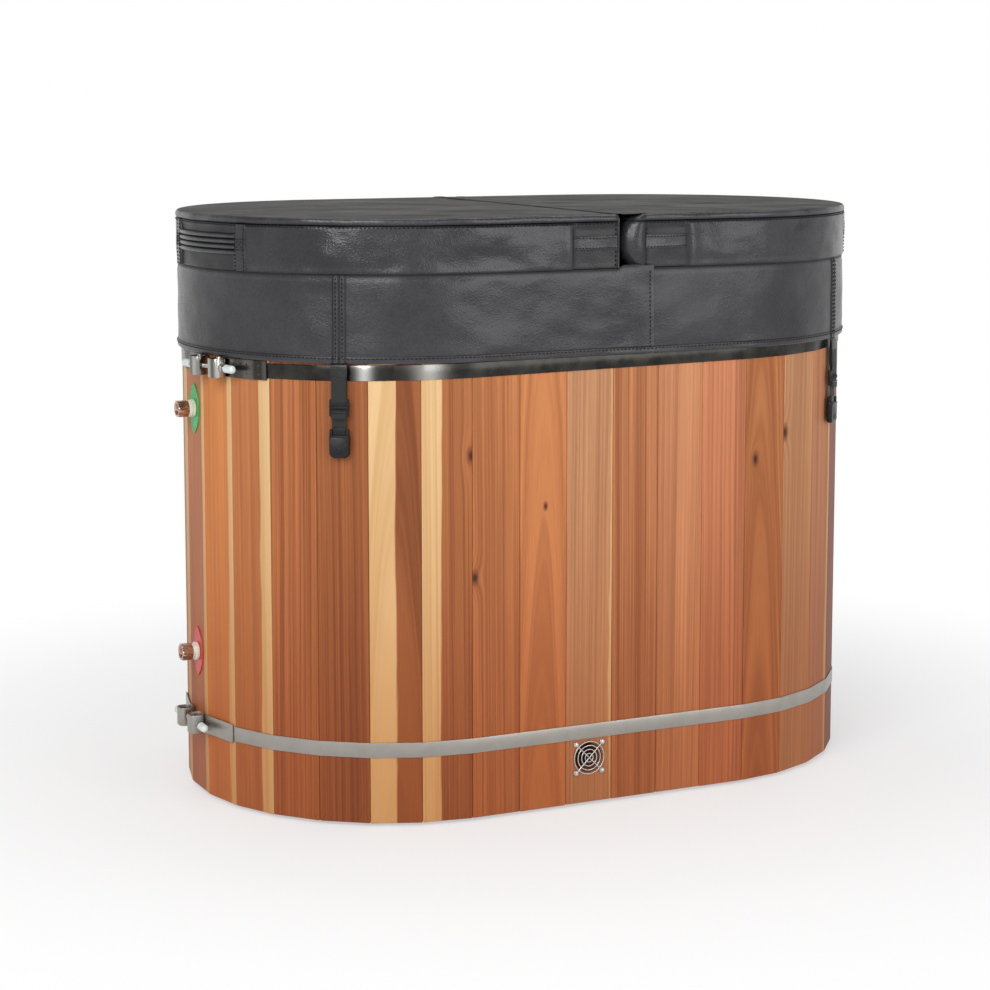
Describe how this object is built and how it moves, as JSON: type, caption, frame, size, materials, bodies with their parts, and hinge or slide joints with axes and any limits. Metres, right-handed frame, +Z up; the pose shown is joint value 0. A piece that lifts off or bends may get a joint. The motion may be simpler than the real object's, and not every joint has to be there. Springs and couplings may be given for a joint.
{
  "type": "cold plunge tub",
  "caption": "Oval cedar stave plunge tub with two steel hoops, plumbing ports, a vent guard and a folding insulated vinyl cover with skirts, straps and locks.",
  "frame": {"origin": "on the ground, under the middle of the centre runner", "axes": "+X along the tub away from the plumbing end, -Y the front with the vent, +Z up"},
  "size_m": [1.2837, 0.7642, 1.0162],
  "materials": {
    "cedar": "clear oiled western red cedar with pale sapwood streaks",
    "stainless": "mill-finished stainless strip and rod",
    "vinyl": "charcoal marine vinyl with a fine leather grain",
    "foam": "white bead foam board",
    "webbing": "black woven webbing",
    "black_plastic": "black moulded acetal",
    "nylon_white": "natural nylon",
    "cap_white": "translucent white vinyl cap",
    "tag_green": "green engraved-stock plate, blank",
    "tag_red": "red engraved-stock plate, blank",
    "bronze": "machined bronze"
  },
  "bodies": {
    "tub": {"stave_pair_01": "cedar", "stave_pair_02": "cedar", "stave_pair_03": "cedar", "stave_pair_04": "cedar", "stave_pair_05": "cedar", "stave_pair_06": "cedar", "stave_pair_07": "cedar", "stave_pair_08": "cedar", "stave_pair_09": "cedar", "stave_pair_10": "cedar", "stave_pair_11": "cedar", "stave_pair_12": "cedar", "stave_pair_13": "cedar", "stave_pair_14": "cedar", "stave_pair_15": "cedar", "stave_pair_16": "cedar", "stave_pair_17": "cedar", "stave_pair_18": "cedar", "stave_pair_19": "cedar", "floor": "cedar", "runner_front": "cedar", "runner_centre": "cedar", "runner_back": "cedar", "lower_hoop": "stainless", "lower_lug_back": "stainless", "lower_lug_front": "stainless", "lower_clamp_rod": "stainless", "lower_rod_cap_back": "cap_white", "lower_rod_cap_front": "cap_white", "upper_hoop": "stainless", "upper_lug_back": "stainless", "upper_lug_front": "stainless", "upper_clamp_rod": "stainless", "upper_rod_cap_back": "cap_white", "upper_rod_cap_front": "cap_white", "upper_port_tag": "tag_green", "upper_port_bush": "nylon_white", "upper_port_locknut": "nylon_white", "upper_port_adapter": "bronze", "lower_port_tag": "tag_red", "lower_port_bush": "nylon_white", "lower_port_locknut": "nylon_white", "lower_port_adapter": "bronze", "vent_guard": "stainless"},
    "lid_right": {"lid_jacket_right": "vinyl", "lid_foam_right": "foam", "skirt_right": "vinyl", "fold_strip": "vinyl"},
    "lid_left": {"lid_jacket_left": "vinyl", "lid_foam_left": "foam", "skirt_left": "vinyl"},
    "strap_front_left": {"strap_front_left": "webbing"},
    "lock_front_left": {"lock_front_left": "black_plastic"},
    "strap_front_right": {"strap_front_right": "webbing"},
    "lock_front_right": {"lock_front_right": "black_plastic"},
    "strap_back_right": {"strap_back_right": "webbing"},
    "lock_back_right": {"lock_back_right": "black_plastic"},
    "strap_back_left": {"strap_back_left": "webbing"},
    "lock_back_left": {"lock_back_left": "black_plastic"}
  },
  "joints": [
    {"name": "cover_lift", "type": "slide", "parent": "tub", "child": "lid_right", "axis": [0, 0, 1], "range_m": [0, 0.3]},
    {"name": "cover_fold", "type": "hinge", "parent": "lid_right", "child": "lid_left", "pos_m": [0.029, 0, 1.0154], "axis": [0, 1, 0], "range_deg": [0, 170], "deforming": ["fold_strip"]},
    {"name": "strap_front_left_swing", "type": "hinge", "parent": "lid_left", "child": "strap_front_left", "pos_m": [-0.47272, -0.30655, 0.7761], "axis": [-0.809, 0.5878, 0], "range_deg": [0, 110]},
    {"name": "lock_front_left_release", "type": "slide", "parent": "strap_front_left", "child": "lock_front_left", "axis": [0, 0, -1], "range_m": [0, 0.03]},
    {"name": "strap_front_right_swing", "type": "hinge", "parent": "lid_right", "child": "strap_front_right", "pos_m": [0.49095, -0.29074, 0.7761], "axis": [-0.77, -0.6381, 0], "range_deg": [0, 110]},
    {"name": "lock_front_right_release", "type": "slide", "parent": "strap_front_right", "child": "lock_front_right", "axis": [0, 0, -1], "range_m": [0, 0.03]},
    {"name": "strap_back_right_swing", "type": "hinge", "parent": "lid_right", "child": "strap_back_right", "pos_m": [0.49095, 0.29074, 0.7761], "axis": [0.77, -0.6381, 0], "range_deg": [0, 110]},
    {"name": "lock_back_right_release", "type": "slide", "parent": "strap_back_right", "child": "lock_back_right", "axis": [0, 0, -1], "range_m": [0, 0.03]},
    {"name": "strap_back_left_swing", "type": "hinge", "parent": "lid_left", "child": "strap_back_left", "pos_m": [-0.47272, 0.30655, 0.7761], "axis": [0.809, 0.5878, 0], "range_deg": [0, 110]},
    {"name": "lock_back_left_release", "type": "slide", "parent": "strap_back_left", "child": "lock_back_left", "axis": [0, 0, -1], "range_m": [0, 0.03]}
  ]
}
